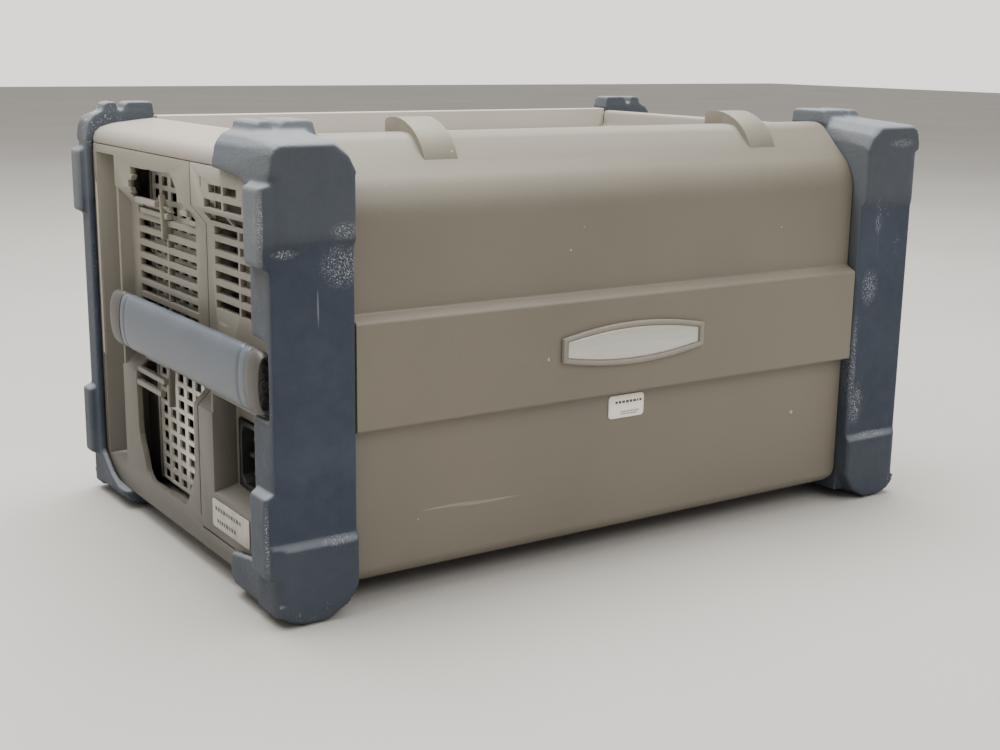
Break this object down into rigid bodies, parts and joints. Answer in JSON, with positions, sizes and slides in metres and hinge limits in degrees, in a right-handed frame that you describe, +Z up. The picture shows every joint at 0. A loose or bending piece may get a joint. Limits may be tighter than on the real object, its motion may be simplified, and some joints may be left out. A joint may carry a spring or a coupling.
{
  "type": "portable transmission test set",
  "caption": "Portable electronic test set in a moulded case with rubber corner bumpers, a fold-down front lid, a side carrying handle and fan vents.",
  "frame": {"origin": "on the floor under the middle of the case's outer box, standing on its bumper feet", "axes": "+X to the right seen from the front, +Y to the back, +Z up"},
  "size_m": [0.3396, 0.212, 0.1852],
  "materials": {
    "bumper rubber": "navy moulded rubber, fine-grained and scuffed",
    "lid moulding": "warm grey moulded ABS with a fine spark-eroded grain",
    "case moulding": "light warm grey moulded ABS",
    "name plate": "pale grey printed plate, blank",
    "label film": "white label film, blank",
    "display window": "dark glossy acrylic",
    "aluminium sheet": "plain brushed sheet",
    "circuit board": "green solder mask",
    "key rubber": "light grey silicone keys",
    "black plastic": "black moulded plastic",
    "dark moulding": "dark grey moulded plastic",
    "zinc plated steel": "zinc plated sheet and fasteners",
    "grip vinyl": "slate blue moulded vinyl"
  },
  "bodies": {
    "case": {"bumper_front_left": "bumper rubber", "bumper_front_right": "bumper rubber", "bumper_rear_left": "bumper rubber", "bumper_rear_right": "bumper rubber", "front_frame": "case moulding", "left_side_panel": "case moulding", "right_side_panel": "case moulding", "top_cover": "case moulding", "bottom_cover": "case moulding", "rear_panel": "case moulding", "rating_label": "label film", "display_window": "display window", "display_module": "aluminium sheet", "connector_plate": "aluminium sheet", "measurement_module": "aluminium sheet", "key_board": "circuit board", "main_board": "circuit board", "mains_inlet": "black plastic", "fan_frame_1": "black plastic", "fan_frame_2": "black plastic", "fan_screen": "zinc plated steel", "chassis": "zinc plated steel", "power_supply": "zinc plated steel", "rear_screw_1": "zinc plated steel", "rear_screw_2": "zinc plated steel", "rear_screw_3": "zinc plated steel", "rear_screw_4": "zinc plated steel", "bnc_connector_1": "zinc plated steel", "bnc_connector_2": "zinc plated steel", "bnc_connector_3": "zinc plated steel", "bnc_connector_4": "zinc plated steel", "optical_port_1": "zinc plated steel", "optical_port_2": "zinc plated steel"},
    "lid": {"front_cover": "lid moulding", "lid_pin_left": "zinc plated steel", "lid_pin_right": "zinc plated steel", "nameplate_rim": "case moulding", "nameplate": "name plate", "serial_label": "label film"},
    "handle": {"handle_grip": "grip vinyl", "handle_strap": "zinc plated steel", "handle_cap_front": "case moulding", "handle_cap_rear": "case moulding", "handle_post_front": "zinc plated steel", "handle_post_rear": "zinc plated steel"},
    "fan_rotor_1": {"fan_rotor_1": "dark moulding"},
    "fan_rotor_2": {"fan_rotor_2": "dark moulding"},
    "softkey_1": {"softkey_1": "key rubber"},
    "softkey_2": {"softkey_2": "key rubber"},
    "softkey_3": {"softkey_3": "key rubber"},
    "softkey_4": {"softkey_4": "key rubber"},
    "softkey_5": {"softkey_5": "key rubber"},
    "key_up": {"key_up": "key rubber"},
    "key_down": {"key_down": "key rubber"},
    "key_left": {"key_left": "key rubber"},
    "key_right": {"key_right": "key rubber"},
    "key_enter": {"key_enter": "key rubber"},
    "power_button": {"power_button": "key rubber"}
  },
  "joints": [
    {"name": "lid_hinge", "type": "hinge", "parent": "case", "child": "lid", "pos_m": [0, -0.092, 0.014], "axis": [1, 0, 0], "range_deg": [0, 90]},
    {"name": "handle_slide", "type": "slide", "parent": "case", "child": "handle", "axis": [-1, 0, 0], "range_m": [0, 0.022]},
    {"name": "fan_1_spin", "type": "hinge", "parent": "case", "child": "fan_rotor_1", "pos_m": [-0.1357, 0.015, 0.0605], "axis": [1, 0, 0], "continuous": true},
    {"name": "fan_2_spin", "type": "hinge", "parent": "case", "child": "fan_rotor_2", "pos_m": [-0.1357, 0.015, 0.127], "axis": [1, 0, 0], "continuous": true},
    {"name": "softkey_1_press", "type": "slide", "parent": "case", "child": "softkey_1", "axis": [0, 1, 0], "range_m": [0, 0.0015], "stiffness_N_per_m": 400},
    {"name": "softkey_2_press", "type": "slide", "parent": "case", "child": "softkey_2", "axis": [0, 1, 0], "range_m": [0, 0.0015], "stiffness_N_per_m": 400},
    {"name": "softkey_3_press", "type": "slide", "parent": "case", "child": "softkey_3", "axis": [0, 1, 0], "range_m": [0, 0.0015], "stiffness_N_per_m": 400},
    {"name": "softkey_4_press", "type": "slide", "parent": "case", "child": "softkey_4", "axis": [0, 1, 0], "range_m": [0, 0.0015], "stiffness_N_per_m": 400},
    {"name": "softkey_5_press", "type": "slide", "parent": "case", "child": "softkey_5", "axis": [0, 1, 0], "range_m": [0, 0.0015], "stiffness_N_per_m": 400},
    {"name": "key_up_press", "type": "slide", "parent": "case", "child": "key_up", "axis": [0, 1, 0], "range_m": [0, 0.0015], "stiffness_N_per_m": 400},
    {"name": "key_down_press", "type": "slide", "parent": "case", "child": "key_down", "axis": [0, 1, 0], "range_m": [0, 0.0015], "stiffness_N_per_m": 400},
    {"name": "key_left_press", "type": "slide", "parent": "case", "child": "key_left", "axis": [0, 1, 0], "range_m": [0, 0.0015], "stiffness_N_per_m": 400},
    {"name": "key_right_press", "type": "slide", "parent": "case", "child": "key_right", "axis": [0, 1, 0], "range_m": [0, 0.0015], "stiffness_N_per_m": 400},
    {"name": "key_enter_press", "type": "slide", "parent": "case", "child": "key_enter", "axis": [0, 1, 0], "range_m": [0, 0.0015], "stiffness_N_per_m": 400},
    {"name": "power_button_press", "type": "slide", "parent": "case", "child": "power_button", "axis": [0, 1, 0], "range_m": [0, 0.0015], "stiffness_N_per_m": 400}
  ]
}
